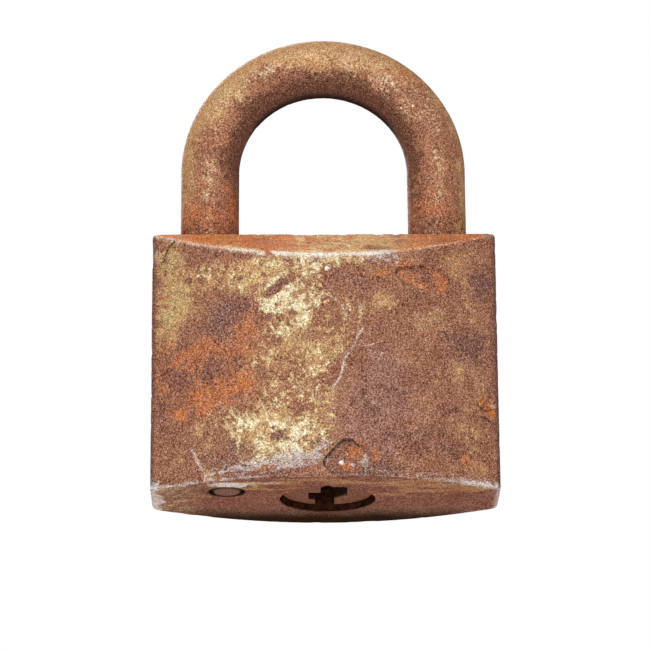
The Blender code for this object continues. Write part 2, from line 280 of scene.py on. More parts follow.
# Rims of the three flaked craters, and the routes of the scratches and cracks, as x and z on the front
flake_high = [
    (12.5, 37.5), (14.6, 37.8), (16.6, 38.2), (19.2, 38.1), (21.2, 36.8), (21.6, 35.1), (21.0, 34.0),
    (20.3, 33.2), (17.2, 33.7), (14.3, 34.5), (12.2, 36.1),
]
flake_low = [
    (-0.4, 2.8), (1.2, 4.6), (2.7, 6.3), (4.4, 6.4), (5.2, 5.6), (7.1, 4.9), (8.3, 3.6), (7.8, 2.2),
    (6.9, 1.4), (5.0, 0.5), (1.0, 0.5), (-0.2, 1.8),
]
flake_edge = [(26.4, 13.9), (28.0, 15.4), (28.4, 17.0), (30.4, 16.8), (30.8, 13.4), (29.0, 12.8)]
scratches = [
    [(-0.4, 32.6), (1.4, 31.6), (2.8, 30.2), (3.5, 28.8), (3.8, 27.8)],
    [(6.4, 26.2), (5.6, 24.9), (4.7, 22.8), (3.2, 20.4), (2.6, 17.6), (1.2, 15.4)],
    [(5.5, 22.9), (7.6, 23.3), (10.0, 24.2)],
    [(9.9, 22.6), (9.1, 20.9)],
    [(-22.8, 6.5), (-21.6, 4.0), (-20.2, 1.0)],
    [(14.0, 34.3), (17.2, 33.5), (20.3, 33.0), (21.0, 33.6)],
]
breadths = [0.9, 1.25, 0.6, 0.7, 1.3, 0.6]
cracks = [
    [(-25.9, 44.4), (-27.2, 42.9), (-27.9, 41.0)],
    [(9.0, 35.6), (10.2, 35.3)],
    [(25.9, 14.6), (27.4, 13.7), (28.8, 14.3)],
    [(26.6, 12.6), (28.3, 11.9)],
]


def front_only(p):
    """1 on the arched front, 0 elsewhere: by how near y is to the front curve."""
    return step(p[:, 1] + lens(p[:, 0]), 1.6, 0.6)


def relief(p):
    """Depth of rust pits, craters, cracks and scratches below the skin, in mm: clouds cut at levels."""
    x, z = p[:, 0], p[:, 2]
    wave = 0.10 * cloud(p, 11.0, 2, 3.1)
    pits = 0.15 * step(cloud(p, 2.4, 3, 8.7), 0.58, 0.80)
    holes = 0.12 * step(cloud(p, 1.05, 2, 3.7), 0.70, 0.82)
    grain = 0.06 * cloud(p, 0.75, 2, 1.9)
    rough = 0.7 + 0.6 * cloud(p, 1.3, 3, 4.2)
    ragged = (cloud(p, 1.5, 3, 5.5) - 0.5) * 1.3
    front = front_only(p)
    depth = (wave + pits + grain + holes) * (0.45 + 0.55 * step(-p[:, 1], -2.0, 4.0))
    for corners, deep in ((flake_high, 0.42), (flake_low, 0.55)):
        depth += front * deep * step(inside(x, z, corners) + ragged * 0.3, -0.08, 0.22) * rough
    side_flake = step(inside(x, z, flake_edge) + ragged * 0.7, -0.1, 0.3)
    depth += 0.35 * side_flake * (p[:, 1] < 0) * step(half_w - np.abs(x), 0.2, 1.6)
    for line in cracks:
        depth += front * 0.22 * step(segment_distance(x, z, line) + 0.25 * ragged, 0.40, 0.05)
    for line in scratches:
        depth += front * 0.09 * step(segment_distance(x, z, line), 0.30, 0.05)
    return depth


def body_skin():
    """Closed skin on two parameters: u runs round the plan curve, v up from the bottom to the top strip."""
    curve, normal = outline(0.29, 0.48, 0.62)
    n = len(curve)
    hub_r = 7.6
    inner = curve - normal * lip
    angle = np.arctan2(inner[:, 1] - core[1], inner[:, 0] - core[0])
    hub = core + hub_r * np.c_[np.cos(angle), np.sin(angle)]
    crest = roof(curve[:, 1])
    ridge = np.c_[0.9 * inner[:, 0], np.clip(inner[:, 1], -side_half, side_half)]
    spine = np.c_[0.85 * inner[:, 0], 0.02 * ridge[:, 1]]
    rings = []
    for t in np.linspace(0, 1, 42)[:-1]:
        rings.append(np.c_[hub + (inner - hub) * t, np.zeros(n)])
    for a in np.linspace(0, np.pi / 2, 6):
        rings.append(np.c_[curve - normal * lip * (1 - np.sin(a)), np.full(n, lip * (1 - np.cos(a)))])
    for t in np.linspace(0, 1, 152)[1:]:
        rings.append(np.c_[curve, lip + (crest - 2 * lip) * t])
    for t in np.linspace(0, 1, 7)[1:]:
        rings.append(np.c_[curve - normal * lip * t * t, arc(t, crest - lip, crest, roof(inner[:, 1]))])
    for start, end, count in ((inner, ridge, 23), (ridge, spine, 15)):
        for t in np.linspace(0, 1, count)[1:]:
            flat = start + (end - start) * t
            rings.append(np.c_[flat, roof(flat[:, 1])])
    grid = np.array(rings)
    du = np.roll(grid, -1, 1) - np.roll(grid, 1, 1)
    dv = np.gradient(grid, axis=0)
    outward = np.cross(du, dv)
    outward /= np.linalg.norm(outward, axis=2)[:, :, None] + 1e-12
    depth = relief(grid.reshape(-1, 3)).reshape(grid.shape[:2])
    ease = np.ones(len(grid))
    ease[:3] = (0, 0.3, 0.7)
    ease[-3:] = (0.7, 0.3, 0)
    return grid - outward * ((depth + skin) * ease[:, None])[:, :, None]


def grid_mesh(name, grid):
    """A closed mesh from a grid of rings in mm: quads between rings, and one flat face on each end."""
    rows, cols = grid.shape[:2]
    i = np.arange(cols)
    j = (i + 1) % cols
    band = np.c_[i, j, j + cols, i + cols]
    faces = np.vstack([band + k * cols for k in range(rows - 1)]).tolist()
    faces.append(i[::-1].tolist())
    faces.append(((rows - 1) * cols + i).tolist())
    mesh = bpy.data.meshes.new(name)
    mesh.from_pydata((grid.reshape(-1, 3) * MM).tolist(), [], faces)
    mesh.update()
    return mesh


def tool(name, mesh):
    """A helper object for cutting, not part of the lock."""
    obj = bpy.data.objects.new(name, mesh)
    scene.collection.objects.link(obj)
    return obj


def drum(name, radius, start, end, spot, axis="z", seg=64):
    """A round cutting tool: a circle carried along the z or the y axis, with sizes in mm."""
    a = np.linspace(0, 2 * np.pi, seg, endpoint=False) + 0.01
    u, v = radius * np.cos(a), radius * np.sin(a)
    if axis == "z":
        rings = [np.c_[spot[0] + u, spot[1] + v, np.full(seg, t)] for t in (start, end)]
    else:
        rings = [np.c_[spot[0] + u, np.full(seg, t), spot[2] - v] for t in (start, end)]
    return tool(name, grid_mesh(name, np.array(rings)))


def slab(name, lo, hi):
    """A straight cutting tool between two corners in mm."""
    plan = [(lo[0], lo[1]), (hi[0], lo[1]), (hi[0], hi[1]), (lo[0], hi[1])]
    rings = [[(x, y, z) for x, y in plan] for z in (lo[2], hi[2])]
    return tool(name, grid_mesh(name, np.array(rings, float)))


def drilled(name, grid, tools):
    """Cuts the tools out of a closed skin and gives back one finished piece."""
    raw = tool(name + "_raw", grid_mesh(name, grid))
    for cutter in tools:
        mod = raw.modifiers.new("cut", "BOOLEAN")
        mod.operation = "DIFFERENCE"
        mod.solver = "MANIFOLD"
        mod.object = cutter
    graph = bpy.context.evaluated_depsgraph_get()
    done = bpy.data.meshes.new_from_object(raw.evaluated_get(graph))
    done.name = name
    for old in [raw] + tools:
        bpy.data.objects.remove(old, do_unlink=True)
    obj = bpy.data.objects.new(name, done)
    scene.collection.objects.link(obj)
    done.materials.clear()
    done.shade_smooth()
    done.set_sharp_from_angle(angle=np.radians(50))
    return obj


def points(mesh):
    """All corner positions of a mesh in mm, as one array."""
    co = np.empty(len(mesh.vertices) * 3, np.float32)
    mesh.vertices.foreach_get("co", co)
    return co.reshape(-1, 3).astype(float) / MM


def paint(mesh, covers):
    """Stores each cover on the mesh, one number for each point, for the material to read."""
    for name, values in covers.items():
        layer = mesh.attributes.new(name, "FLOAT", "POINT")
        layer.data.foreach_set("value", np.clip(values, 0, 1).astype(np.float32))


past = 3
recess_r, recess_top = plug_r + 0.27, 4.6
rod_bore_r, heel_floor, toe_floor = stock_r + 0.25, 8.0, 33.6
shank_bore_r, cam_low, cam_high, latch_top = 6.8, 36.6, 36.8, 40.4
ring_r, ring_top = 3.15, 0.8
feed_bore_r = 2.65
stop_bore_r, clip_bore_r, back_bore_r = 1.7, 1.5, 1.55
chamber_end = -13.2
past_back = 22
body_tools = [
    drum("core_recess", recess_r, -past, recess_top, core, seg=128),
    drum("core_bore", shank_bore_r, 4, cam_high, core),
    drum("heel_bore", rod_bore_r, heel_floor, body_h + past, (-leg_x, 0, 0), seg=96),
    drum("toe_bore", rod_bore_r, toe_floor, body_h + past, (leg_x, 0, 0), seg=96),
    slab("latch_channel", (-3.8, -4.8, cam_low), (leg_x, 4.0, latch_top)),
    drum("ring_groove", ring_r, -past, ring_top, feed),
    drum("feed_bore", feed_bore_r, 0.5, 12, feed),
    drum("stop_bore", stop_bore_r, -5, past_back, stop, "y", 32),
    drum("clip_bore", clip_bore_r, -6, past_back, clip, "y", 32),
]
for k in range(1, 6):
    chamber = middle_of(f"back_plug_{k}")
    body_tools.append(drum(f"pin_bore_{k}", back_bore_r, chamber_end, past_back, chamber, "y", 32))
body = drilled("lock_skin", body_skin(), body_tools)


def density(x, z, spots, ragged, rise=-0.45, full=0.85):
    """Soft cover: the strongest of several ovals, each fading from its middle to beyond its rim.

    An oval is its middle x and z, half width and half height in mm, turn in degrees, and strength.
    """
    cover = np.zeros(len(x))
    for cx, cz, rx, rz, turn, share in spots:
        cover = np.maximum(cover, share * step(blot(x, z, cx, cz, rx, rz, turn) + ragged, rise, full))
    return cover


# Where each finish lies on the front: cream and ochre coat, green tint, dark and orange rust, smears of
# bare steel, gaps in the cream coat and mauve rust
pale_spots = [
    (-5.9, 31.6, 5.2, 5.2, 25, 0.88), (-9.4, 33.0, 3.4, 3.0, 0, 0.72), (-6.4, 37.6, 7.0, 2.8, 0, 0.52),
    (-4.0, 36.8, 3.6, 2.6, 0, 0.82), (-16.5, 11.0, 4.0, 2.6, 0, 0.5), (-8.2, 26.2, 2.4, 5.4, -8, 0.62),
    (-14.0, 35.4, 4.6, 2.4, -12, 0.55), (-18.5, 37.8, 4.5, 2.0, 0, 0.35),
    (-13.0, 10.0, 5.8, 3.2, -6, 0.66), (-6.6, 7.2, 6.8, 3.8, 6, 0.84), (-2.5, 8.8, 3.8, 3.4, 0, 0.58),
    (-4.0, 17.0, 6.5, 5.0, 25, 0.48), (-2.0, 21.5, 5.0, 3.6, 0, 0.38), (-11.0, 4.4, 4.5, 2.0, 0, 0.3),
    (2.6, 38.6, 5.5, 1.2, 0, 0.4), (-7.0, 13.5, 4.5, 3.0, 0, 0.22), (1.5, 24.0, 4.0, 5.0, 0, 0.34),
    (-2.5, 27.5, 3.5, 3.5, 0, 0.12), (-10.0, 21.0, 4.0, 4.0, 0, 0.35), (4.5, 29.5, 2.5, 2.5, 0, 0.3),
]
ochre_spots = [
    (-26.0, 37.5, 5.0, 7.5, 0, 0.85), (-26.8, 29.5, 3.4, 6.0, 0, 0.7), (-19.0, 36.4, 8.0, 3.8, 0, 0.65),
    (-10.5, 36.5, 8.0, 4.0, 0, 0.7), (-6.0, 22.0, 8.5, 9.0, 0, 0.65), (0.5, 22.5, 5.0, 7.0, 0, 0.6),
    (-8.0, 9.0, 11.0, 5.0, 0, 0.75), (19.0, 31.5, 7.0, 4.4, 0, 0.44), (9.5, 31.5, 5.0, 3.2, 0, 0.5),
    (24.0, 38.5, 5.0, 4.5, 0, 0.4), (25.6, 8.6, 3.6, 6.0, 0, 0.74), (20.0, 20.0, 7.0, 4.4, 0, 0.4),
    (4.0, 38.8, 7.0, 1.8, 0, 0.6), (-21.0, 3.8, 1.0, 3.4, 25, 0.9), (-20.5, 6.5, 5.5, 3.0, 0, 0.3),
    (-25.6, 5.8, 4.0, 3.4, 0, 0.42), (9.0, 39.0, 4.0, 1.6, 0, 0.5), (0.0, 13.0, 5.0, 5.0, 0, 0.4),
]
green_spots = [
    (-26.6, 40.0, 2.6, 3.2, 0, 0.8), (-27.0, 30.6, 1.5, 3.2, 0, 0.9), (-25.5, 34.5, 2.8, 4.0, 0, 0.7),
    (11.0, 30.5, 2.4, 2.0, 0, 0.5), (18.5, 29.5, 5.0, 3.0, 0, 0.5), (25.6, 8.4, 2.0, 4.2, 0, 0.8),
    (18.2, 20.0, 2.6, 2.6, 0, 0.35), (-22.0, 42.0, 2.4, 1.6, 0, 0.4),
]
dark_spots = [
    (-15.2, 30.4, 5.6, 3.6, 10, 0.66), (-17.9, 26.9, 4.2, 5.0, 30, 0.72),
    (-24.5, 18.6, 5.0, 4.6, 20, 0.65), (-20.0, 20.5, 7.0, 5.5, 0, 0.62), (-28.4, 14.0, 2.2, 6.0, 0, 0.5),
    (-26.5, 11.5, 4.0, 4.0, 0, 0.3), (4.6, 34.8, 5.4, 3.0, -10, 0.6), (24.5, 24.8, 6.0, 3.4, 0, 0.75),
    (21.5, 26.0, 3.2, 2.0, 0, 0.7), (27.0, 36.6, 2.6, 3.4, 0, 0.85), (9.0, 13.5, 9.0, 5.5, 15, 0.48),
    (15.5, 7.0, 8.0, 5.0, 0, 0.54), (20.5, 12.6, 4.0, 2.4, 0, 0.5), (22.0, 6.2, 3.2, 3.4, 0, 0.55),
    (-14.5, 6.0, 3.6, 2.6, -20, 0.65), (-18.0, 3.4, 7.0, 2.4, 0, 0.6), (8.0, 3.0, 9.0, 3.0, 0, 0.35),
    (-24.5, 43.0, 3.0, 2.0, 0, 0.35), (-19.5, 41.0, 4.5, 1.8, -8, 0.5), (-8.6, 34.2, 1.6, 1.3, 20, 0.95),
    (-3.6, 25.2, 3.6, 2.8, 0, 0.5), (6.0, 19.0, 9.0, 9.0, 0, 0.2), (-7.8, 7.2, 1.4, 1.2, 0, 0.9),
    (-23.6, 36.8, 0.8, 0.8, 0, 1.3), (4.6, 3.8, 3.6, 2.6, 0, 0.4), (16.0, 36.0, 5.0, 2.2, 0, 0.55),
    (-4.0, 12.6, 4.0, 2.0, 0, 0.35), (11.0, 1.5, 8.0, 1.8, 0, 0.85), (-9.0, 1.0, 9.0, 0.8, 4, 0.75),
]
fire_spots = [
    (-21.0, 22.0, 8.0, 5.5, 25, 0.72), (-19.5, 16.5, 9.5, 4.6, 8, 0.78), (-27.0, 19.5, 2.6, 3.4, 0, 0.75),
    (-14.2, 26.5, 4.2, 5.0, 0, 0.58), (-17.5, 39.6, 8.0, 2.4, 0, 0.45), (14.5, 37.6, 3.6, 2.0, 0, 0.55),
    (-27.0, 25.0, 3.0, 2.6, 0, 0.45), (24.0, 38.0, 5.0, 4.0, 0, 0.3), (-24.8, 12.8, 1.0, 1.1, 0, 1.2),
    (-26.6, 21.4, 1.2, 1.0, 0, 1.0), (-27.6, 34.2, 1.3, 0.4, 0, 1.1), (20.6, 35.4, 1.5, 2.2, 0, 0.8),
    (16.0, 36.0, 5.5, 2.6, 0, 0.6), (9.6, 36.2, 3.0, 1.6, 20, 0.6), (23.6, 4.6, 1.6, 1.4, 0, 0.75),
    (28.0, 13.6, 1.8, 2.6, 0, 0.75), (8.4, 3.8, 1.0, 1.8, 0, 0.85), (3.6, 1.5, 2.8, 1.3, 0, 0.78),
    (-11.0, 17.5, 6.0, 6.0, 0, 0.22), (25.5, 5.5, 4.0, 4.5, 0, 0.4), (-14.5, 20.0, 6.0, 8.0, 0, 0.45),
    (-21.0, 3.8, 1.8, 2.6, 25, 0.5), (-16.0, 31.6, 3.0, 1.0, 0, 0.45), (5.2, 4.2, 2.6, 2.0, 0, 0.88),
    (-16.0, 21.0, 12.0, 10.0, 0, 0.5), (17.0, 34.0, 9.0, 5.0, 0, 0.3),
]
smear_spots = [
    (-5.4, 2.9, 6.5, 1.7, 8, 0.88), (-0.9, 5.0, 2.6, 1.2, 47, 0.85), (-14.0, 2.1, 8.0, 1.3, 6, 0.68),
    (-1.0, 3.2, 2.6, 1.8, 0, 0.8), (9.8, 38.9, 4.4, 1.5, 6, 0.66), (6.4, 2.7, 0.8, 1.7, -15, 0.72),
    (15.0, 1.0, 9.0, 1.0, 0, 0.35), (-15.0, 41.6, 6.0, 0.9, -8, 0.5), (-28.9, 42.5, 0.8, 2.5, 0, 0.4),
    (28.9, 14.9, 0.35, 0.35, 0, 1.4), (4.6, 2.2, 0.4, 0.3, 0, 1.0), (0.6, 4.9, 0.3, 0.3, 0, 0.8),
    (-17.0, 28.6, 4.0, 3.4, 0, 0.12),
]
bare_spots = [
    (-8.6, 33.3, 1.7, 0.9, 30, 1.2), (-7.1, 34.6, 1.4, 0.8, 20, 1.2), (-4.2, 36.9, 1.0, 0.7, 0, 0.7),
    (-2.4, 36.6, 0.6, 0.5, 0, 0.7), (-14.5, 35.8, 0.8, 0.6, 0, 1.3), (-4.5, 32.4, 1.2, 0.6, 20, 0.6),
    (-2.9, 31.2, 0.9, 0.7, 40, 0.6), (-8.0, 30.6, 0.5, 0.4, 0, 0.7), (-10.2, 34.8, 0.6, 0.3, 0, 1.2),
    (-7.8, 7.2, 1.8, 1.0, 20, 0.9), (-10.6, 8.8, 1.2, 0.7, 0, 0.6), (-5.0, 9.6, 1.4, 0.7, 0, 0.6),
    (-3.6, 6.4, 1.0, 0.6, 30, 0.6), (-13.4, 8.4, 1.1, 0.9, 0, 0.7), (-6.2, 28.6, 1.2, 0.7, 0, 1.0),
    (-9.6, 28.4, 0.8, 0.8, 0, 1.0),
]
mauve_spots = [
    (8.5, 12.0, 9.5, 12.0, 0, 1.0), (22.0, 22.0, 7.0, 5.0, 0, 0.5), (-16.5, 28.5, 6.0, 5.0, 0, 0.6),
    (-22.0, 6.0, 8.0, 5.0, 0, 0.4),
]


def body_paint(mesh):
    """Where the finishes lie: ovals and clouds, and distances to edges and lines in mm.

    The material breaks them up into flecks.
    """
    p = points(mesh)
    x, y, z = p.T
    front = front_only(p)
    on_front = front > 0.5
    fine = cloud(p, 1.3, 3, 2.2) - 0.5
    mid = cloud(p, 4.5, 3, 6.1) - 0.5
    broad = cloud(p, 12.0, 2, 9.4) - 0.5
    chips = cloud(p, 2.2, 3, 7.7) - 0.5
    ragged = 1.2 * mid + 1.1 * fine

    def cover(spots, elsewhere, start, full, share):
        """Ovals on the front, and a cloud cut at a level on the sides and back."""
        return front * density(x, z, spots, ragged) + (1 - front) * step(elsewhere, start, full) * share

    bare = density(x, z, bare_spots, ragged * 1.2, -0.2, 0.6)
    pale_and_highlight = cover(pale_spots, 1.2 * mid + 1.4 * broad + 0.8 * fine, 0.22, 0.75, 0.6)
    pale_and_highlight *= 1 - np.clip(bare, 0, 1) * front
    ochre = cover(ochre_spots, broad + mid + 0.5 * fine, -0.10, 0.40, 0.75)
    green = cover(green_spots, broad - mid, 0.15, 0.45, 0.5)
    dark_rust_and_shade = cover(dark_spots, mid - broad + 0.5 * fine, 0.0, 0.50, 0.8)
    fire = cover(fire_spots, 0.8 * fine - 0.5 * mid - broad, 0.02, 0.45, 0.85)
    steel = front * density(x, z, smear_spots, ragged)
    mauve = front * density(x, z, mauve_spots, ragged)

    # Roof: orange at both ends, ochre and cream in the middle
    slope = step(z - roof(y), -0.9, -0.2) * step(np.abs(y), 6.0, 6.6) + step(z, 45.6, 45.9)
    on_roof = slope > 0.5
    drift = 30 * mid + 16 * fine
    roof_fire = np.maximum(step(-x + drift, -14.0, 12.0), 0.7 * step(x, 6.0, 16.0))
    roof_ochre = step(np.abs(x - 3.0) - drift, 19.0, 2.0) * 0.95 + step(x, 8.0, 18.0) * 0.25
    roof_dark = 0.02 + 0.5 * step(mid + fine, 0.1, 0.4)
    roof_pale = 0.10 + 0.34 * step(np.abs(x - 1.0) - 0.3 * drift, 9.0, 3.0) - 0.1 * step(y, -3.0, 3.0)
    fire = np.where(on_roof, roof_fire, fire)
    ochre = np.where(on_roof, roof_ochre, ochre)
    dark_rust_and_shade = np.where(on_roof, roof_dark, dark_rust_and_shade)
    pale_and_highlight = np.where(on_roof, roof_pale, pale_and_highlight)

    # Craters with dark broken rims, darker on their upper sides as painted shadow, cracks and bare scratches
    low_flake = inside(x, z, flake_low)
    high_flake = inside(x, z, flake_high)
    high_rim = np.abs(high_flake) + 0.15 * step(z + 0.1 * x, 37.6, 36.6)
    low_rim = np.abs(low_flake) + 0.12 * step(x - 0.6 * z, 1.5, 4.0)
    rims = np.minimum(high_rim, low_rim) + 0.3 * step(chips, 0.08, 0.26)
    split = np.min([segment_distance(x, z, one) for one in cracks], axis=0)
    rift_and_rim_shadow = np.where(on_front, np.minimum(rims, split), 1.0)
    crater_fire = step(high_flake, -0.2, 0.5) * (0.45 + 0.22 * step(x + 4 * mid, 15.0, 20.0))
    fire = np.maximum(fire, front * crater_fire)
    dark_rust_and_shade = np.maximum(dark_rust_and_shade, front * np.maximum(0.35 * step(low_flake, 0.0, 0.4), 0.6 * bare))
    line = [segment_distance(x, z, one) / breadth for one, breadth in zip(scratches, breadths)]
    line = np.where(on_front, np.min(line, axis=0), 1.0)

    # Edges rubbed to pale metal: distance over the width of the wear, and how far it shows
    wall = lens(np.clip(x, -half_w, half_w)) - np.abs(y)
    side = half_w - np.abs(x)
    low_width = 0.55 + 0.75 * step(x, 14.0, 27.0) + 1.1 * step(-x, 27.5, 29.5) + 0.15 * step(-x, 8.0, 16.0)
    low_reach = 0.54 + 0.33 * step(x, 20.0, 26.0) + 0.33 * step(-x, 7.0, 14.0)
    low_edge = np.hypot(z, np.minimum(np.abs(wall), side)) / low_width
    top_width = 0.62 + 0.55 * step(np.abs(x + 4.0), 15.0, 5.0) + 0.25 * step(-x, 12.0, 16.0)
    top_width += 0.6 * step(np.abs(x - 9.5), 4.5, 1.0)
    top_reach = 0.54 + 0.44 * step(np.abs(x + 1.5), 16.5, 8.5)
    notch = 1.5 * np.exp(-((x + 10.2 + 0.6 * (z - 41)) / 0.45) ** 2)
    top_edge = (np.hypot(roof(y) - z, wall) + notch) / top_width
    edge = np.minimum(low_edge, top_edge)
    reach = np.where(low_edge < top_edge, low_reach, top_reach) * step(edge, 1.5, 1.0)
    reach *= np.where(y > side_half, 0.25 + 0.6 * step(mid, -0.1, 0.15), 1.0)
    # Painted shade: darker along the rounded side corners of the front
    dark_rust_and_shade = np.maximum(dark_rust_and_shade, front * step(side, 1.2, 0.45) * 0.9)

    # White chips: on the left corner, in the cream coat, in the lower crater and before the round plug
    flat = step(z, 0.4, 0.1)
    scar = front * step(blot(x, z, -29.0, 1.2, 1.2, 2.0) + 1.2 * chips, -0.1, 0.7)
    below = flat * step(blot(x, y, -28.8, 0.5, 1.7, 6.2) + 1.6 * chips, -0.1, 0.7)
    high_chip = blot(x, z, 0.4, 36.9, 0.55, 0.45)
    low_chip = blot(x, z, 2.6, 2.5, 0.55, 0.45) + 0.6 * chips
    dot = front * step(np.maximum(high_chip, low_chip), 0.0, 0.4)
    dusted = flat * step(blot(x, y, -15.8, -9.8, 5.4, 1.9) + 0.9 * chips, -0.1, 0.7)
    patch = np.max([scar * 0.36, below * 0.8, dot, dusted * 0.95], axis=0)

    # Underside: streaks from side to side, powdery at the left, pale streaks brighter towards the front as
    # painted light; painted shade at the rear, in bores and round the groove
    under = step(z, 0.5, 0.2)
    on_base = under > 0.5
    streak = cloud(np.c_[x * 0.22, y * 1.4, z], 2.4, 3, 5.2) - 0.5
    powder = step(blot(x, y, -16.0, -9.6, 6.0, 2.4) + 0.8 * fine, 0.0, 0.6) + 0.7 * step(-x, 19.0, 26.0)
    base_ochre = 1.2 * step(streak + 0.05, 0.02, 0.22) * step(-y, -2.0, 6.0) + 0.12
    # Painted light: the pale streaks grow towards the front of the underside and at its front left
    painted_light = 0.34 * step(-y, 4.0, 10.0) + 0.55 * step(blot(x, y, -14, -10, 9, 4), 0.0, 0.5)
    ochre = np.where(on_base, base_ochre, ochre)
    pale_and_highlight = np.where(on_base, step(streak, 0.0, 0.22) * painted_light + 0.5 * powder, pale_and_highlight)
    dark_rust_and_shade = np.where(on_base, np.maximum(0.8 * dark_rust_and_shade, 0.55 * step(-streak, 0.04, 0.2)), dark_rust_and_shade)
    # Painted shade: dark on walls inside the bores, at the rear of the underside and in a ring round the feed
    # groove
    deep = step(z, 0.2, 1.5) * step(wall, 0.9, 1.6) * step(side, 1.2, 2.0) * step(roof(y) - z, 0.7, 1.6)
    painted_rear_shade = 0.94 * step(y + 2.0 * mid, 3.0, 12.2) * step(z, 1.3, 0.5) * step(np.abs(x), 32.0, 20.0)
    groove_shade = flat * step(np.abs(np.hypot(x - feed[0], y - feed[1]) - ring_r), 0.55, 0.05)
    painted_shade = np.max([deep, painted_rear_shade, 0.4 * groove_shade], axis=0)

    paint(mesh, {
        "pale_and_highlight": pale_and_highlight, "ochre": ochre, "green": green, "dark_rust_and_shade": dark_rust_and_shade, "fire": fire, "patch": patch,
        "edge": edge, "reach": reach, "line": line, "steel": steel, "painted_shade": painted_shade, "mauve": mauve,
        "rift_and_rim_shadow": rift_and_rim_shadow, "sunk": 0.5 + 0.5 * low_flake * front,
        "under": under * (1 - painted_shade) * (1 - 0.6 * powder), "roof": slope,
    })


body_paint(body.data)


class Recipe:
    """Short calls for building one node material, from colours to bump."""

    def __init__(self, name, rough=0.82, metal=0.0):
        self.material = bpy.data.materials.new(name)
        self.material.use_nodes = True
        self.tree = self.material.node_tree
        self.shader = self.tree.nodes["Principled BSDF"]
        self.shader.inputs["Metallic"].default_value = metal
        self.shader.inputs["Roughness"].default_value = rough
        self.place = self.tree.nodes.new("ShaderNodeTexCoord").outputs["Object"]

    def link(self, a, b):
        self.tree.links.new(a, b)

    def noise(self, per_m, detail, rough, warp=0.0, stretch=None):
        """Noise on the object's own place, with so many waves to the metre, and stretched where told."""
        place = self.place
        if stretch:
            scaled = self.tree.nodes.new("ShaderNodeVectorMath")
            scaled.operation = "MULTIPLY"
            self.link(self.place, scaled.inputs[0])
            scaled.inputs[1].default_value = stretch
            place = scaled.outputs[0]
        node = self.tree.nodes.new("ShaderNodeTexNoise")
        for key, value in (("Scale", per_m), ("Detail", detail), ("Roughness", rough), ("Distortion", warp)):
            node.inputs[key].default_value = value
        self.link(place, node.inputs["Vector"])
        return node.outputs["Fac"]

    def read(self, name):
        """A painted cover."""
        node = self.tree.nodes.new("ShaderNodeAttribute")
        node.attribute_name = name
        return node.outputs["Fac"]

    def math(self, kind, a, b):
        node = self.tree.nodes.new("ShaderNodeMath")
        node.operation = kind
        for socket, value in zip(node.inputs, (a, b)):
            if isinstance(value, (int, float)):
                socket.default_value = value
            else:
                self.link(value, socket)
        return node.outputs[0]

    def times(self, a, b):
        return self.math("MULTIPLY", a, b)

    def plus(self, a, b):
        return self.math("ADD", a, b)

    def mean(self, first, *others):
        """Average of several noises."""
        total = first
        for one in others:
            total = self.plus(total, one)
        return self.times(total, 1 / (1 + len(others)))

    def span(self, value, a, b, c=0.0, d=1.0):
        """Smooth change from c to d while the value goes from a to b."""
        node = self.tree.nodes.new("ShaderNodeMapRange")
        node.interpolation_type = "SMOOTHSTEP"
        for key, number in (("From Min", a), ("From Max", b), ("To Min", c), ("To Max", d)):
            node.inputs[key].default_value = number
        self.link(value, node.inputs["Value"])
        return node.outputs["Result"]

    def blend(self, factor, a, b, kind="MIX"):
        """Colour b over colour a by a factor."""
        node = self.tree.nodes.new("ShaderNodeMix")
        node.data_type = "RGBA"
        node.blend_type = kind
        for socket, value in ((node.inputs[0], factor), (node.inputs[6], a), (node.inputs[7], b)):
            if isinstance(value, tuple):
                socket.default_value = (*value, 1.0)
            elif isinstance(value, (int, float)):
                socket.default_value = value
            else:
                self.link(value, socket)
        return node.outputs[2]

    def flecks(self, name, noise, spread, a, b, share=1.0):
        """A painted cover broken into flecks: cover plus noise around zero, cut by a steep smooth step."""
        ragged = self.times(self.math("SUBTRACT", noise, 0.5), spread)
        cut = self.span(self.plus(self.read(name), ragged), a, b)
        return self.times(cut, self.span(self.read(name), 0.02, 0.15, 0.0, share))

    def coats(self, colour, layers):
        """Lays flecks of several colours over a colour, one after the other."""
        for cover, noise, spread, a, b, share, tint in layers:
            colour = self.blend(self.flecks(cover, noise, spread, a, b, share), colour, tint)
        return colour

    def height(self):
        part = self.tree.nodes.new("ShaderNodeSeparateXYZ")
        self.link(self.place, part.inputs[0])
        return part.outputs[2]

    def away(self, spot):
        """Distance in plan from an upright axis."""
        flat = self.tree.nodes.new("ShaderNodeVectorMath")
        flat.operation = "MULTIPLY"
        self.link(self.place, flat.inputs[0])
        flat.inputs[1].default_value = (1, 1, 0)
        gap = self.tree.nodes.new("ShaderNodeVectorMath")
        gap.operation = "DISTANCE"
        self.link(flat.outputs[0], gap.inputs[0])
        gap.inputs[1].default_value = (spot[0] * MM, spot[1] * MM, 0)
        return gap.outputs["Value"]

    def below(self, spot, radius):
        """1 on walls inside a round hole in the underside, once they are more than a hair above it."""
        z = self.height()
        near = self.span(self.away(spot), radius * MM, (radius - 0.1) * MM)
        low = self.span(z, 12 * MM, 10 * MM)
        return self.times(self.times(near, low), self.span(z, 0.10 * MM, 0.35 * MM))

    def power(self, colour, exponent):
        node = self.tree.nodes.new("ShaderNodeGamma")
        self.link(colour, node.inputs["Color"])
        node.inputs["Gamma"].default_value = exponent
        return node.outputs["Color"]

    def speckle(self, colour, noise, share):
        """Fine light and dark dots of even strength to the eye: noise added to the colour's 2.2th root."""
        dotted = self.blend(share, self.power(colour, 1 / 2.2), noise, "LINEAR_LIGHT")
        dotted.node.clamp_result = True
        return self.power(dotted, 2.2)

